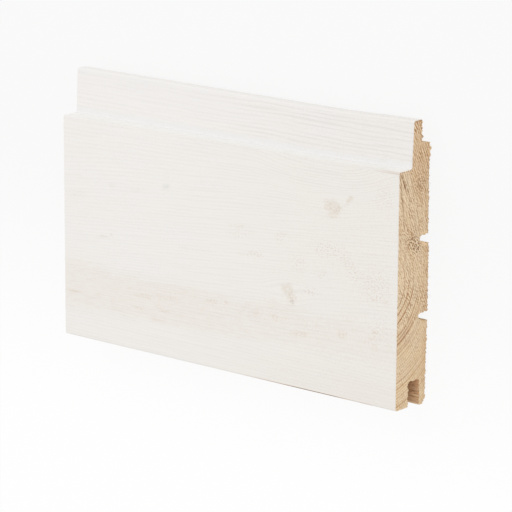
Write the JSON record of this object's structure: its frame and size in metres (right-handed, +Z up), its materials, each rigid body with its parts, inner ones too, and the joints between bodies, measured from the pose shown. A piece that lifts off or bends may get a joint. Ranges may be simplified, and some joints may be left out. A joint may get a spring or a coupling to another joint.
{
  "type": "tongue and groove board",
  "caption": "Short length of white-glazed softwood cladding board with a tongue, a groove, a shadow-gap rebate and relief grooves in its back.",
  "frame": {"origin": "middle of the board's back, on the surface it lies on", "axes": "+X along the board, +Y across it towards the tongue, +Z up through the thickness to the finished face"},
  "size_m": [0.1836, 0.12, 0.021],
  "materials": {
    "glazed_softwood": "white-glazed softwood on the face and tongue, bare wood on the back, the groove and the sawn ends"
  },
  "bodies": {
    "root": {"tongue_and_groove_board": "glazed_softwood"}
  },
  "joints": []
}
